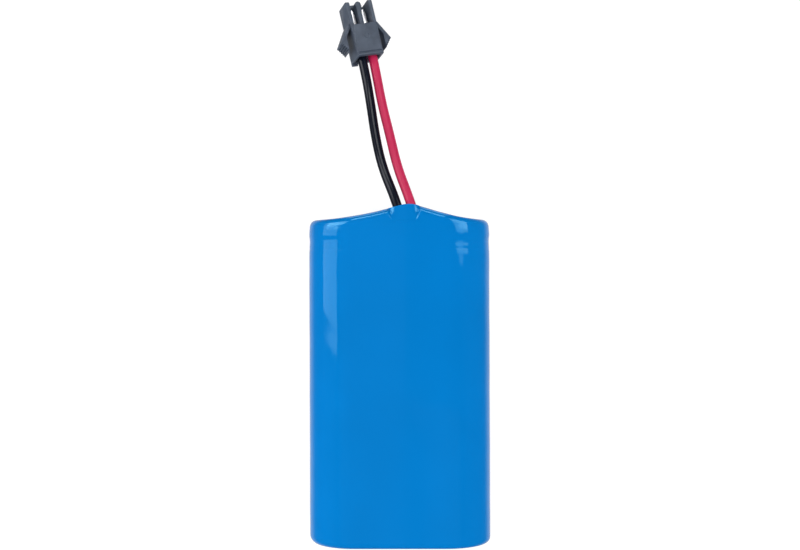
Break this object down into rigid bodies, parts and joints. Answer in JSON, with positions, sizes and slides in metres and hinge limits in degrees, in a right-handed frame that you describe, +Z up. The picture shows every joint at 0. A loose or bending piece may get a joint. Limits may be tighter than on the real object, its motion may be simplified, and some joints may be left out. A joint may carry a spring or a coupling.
{
  "type": "rechargeable battery pack",
  "caption": "Flat battery pack of cylindrical cells side by side in a blue shrink sleeve, with red and black leads to a small plug with squeeze levers.",
  "frame": {"origin": "on the lower broad face of the sleeve, under the middle of the sleeve with its raised tent, leads and plug not counted", "axes": "+X across the two cells, +Y along the cells toward the lead end, +Z up, out of the broad face that the leads run under"},
  "size_m": [0.0378, 0.1144, 0.0191],
  "materials": {
    "sleeve_film": "glossy blue heat-shrunk PVC film",
    "cell_wrap": "pale green heat-shrunk PVC film",
    "can_steel": "nickel-plated drawn steel",
    "nickel": "satin nickel strip",
    "aluminium_sheet": "plain pressed aluminium",
    "anode_coating": "graphite coating on copper foil",
    "cathode_coating": "dark oxide coating on aluminium foil",
    "separator_film": "microporous white film",
    "clear_polymer": "moulded polypropylene",
    "carbon_polymer": "carbon-filled polymer with metal faces",
    "insulating_paper": "vulcanised insulating paper",
    "foam": "closed-cell foam",
    "hot_melt": "hot-melt glue",
    "board_laminate": "solder-masked glass laminate",
    "chip_resin": "moulded epoxy",
    "fuse_polymer": "coated polymer sheet",
    "resistor_ceramic": "chip ceramic",
    "solder": "bright solder",
    "black_jacket": "soft black PVC wire insulation",
    "red_jacket": "soft red PVC wire insulation",
    "tinned_copper": "tinned copper strands",
    "plug_nylon": "moulded dark nylon, fine grain",
    "tin_plate": "bright tin-plated brass"
  },
  "bodies": {
    "pack": {"cell_adhesive": "hot_melt", "cell_left_anode_foil": "anode_coating", "cell_left_anode_tab": "nickel", "cell_left_bottom_insulator": "insulating_paper", "cell_left_can": "can_steel", "cell_left_cap": "can_steel", "cell_left_cathode_foil": "cathode_coating", "cell_left_cathode_tab": "aluminium_sheet", "cell_left_centre_tube": "can_steel", "cell_left_current_limiter": "carbon_polymer", "cell_left_gasket": "clear_polymer", "cell_left_ring_washer": "insulating_paper", "cell_left_separators": "separator_film", "cell_left_top_insulator": "insulating_paper", "cell_left_vent_disc": "aluminium_sheet", "cell_left_wrapper": "cell_wrap", "cell_right_anode_foil": "anode_coating", "cell_right_anode_tab": "nickel", "cell_right_bottom_insulator": "insulating_paper", "cell_right_can": "can_steel", "cell_right_cap": "can_steel", "cell_right_cathode_foil": "cathode_coating", "cell_right_cathode_tab": "aluminium_sheet", "cell_right_centre_tube": "can_steel", "cell_right_current_limiter": "carbon_polymer", "cell_right_gasket": "clear_polymer", "cell_right_ring_washer": "insulating_paper", "cell_right_separators": "separator_film", "cell_right_top_insulator": "insulating_paper", "cell_right_vent_disc": "aluminium_sheet", "cell_right_wrapper": "cell_wrap", "chip_resistors": "resistor_ceramic", "circuit_board": "board_laminate", "end_board_bottom": "insulating_paper", "end_board_top": "insulating_paper", "foam_pad": "foam", "lead_black_core": "tinned_copper", "lead_black_jacket": "black_jacket", "lead_red_core": "tinned_copper", "lead_red_jacket": "red_jacket", "negative_riser": "nickel", "negative_strip": "nickel", "outer_sleeve": "sleeve_film", "plug_housing": "plug_nylon", "positive_strip": "nickel", "protection_chip": "chip_resin", "solder_black": "solder", "solder_negative_strip": "solder", "solder_positive_strip": "solder", "solder_red": "solder", "switch_chip": "chip_resin", "terminal_black": "tin_plate", "terminal_red": "tin_plate", "thermal_fuse": "fuse_polymer", "valley_insulation": "insulating_paper"},
    "lever_left": {"squeeze_lever_left": "plug_nylon"},
    "lever_right": {"squeeze_lever_right": "plug_nylon"}
  },
  "joints": [
    {"name": "lever_left_squeeze", "type": "hinge", "parent": "pack", "child": "lever_left", "pos_m": [-0.01088, 0.07285, 0.00528], "axis": [0.2883, 0.2004, 0.9363], "range_deg": [0, 11], "stiffness_Nm_per_rad": 0.02},
    {"name": "lever_right_squeeze", "type": "hinge", "parent": "pack", "child": "lever_right", "pos_m": [-0.00538, 0.07383, 0.00338], "axis": [-0.2883, -0.2004, -0.9363], "range_deg": [0, 11], "stiffness_Nm_per_rad": 0.02}
  ]
}
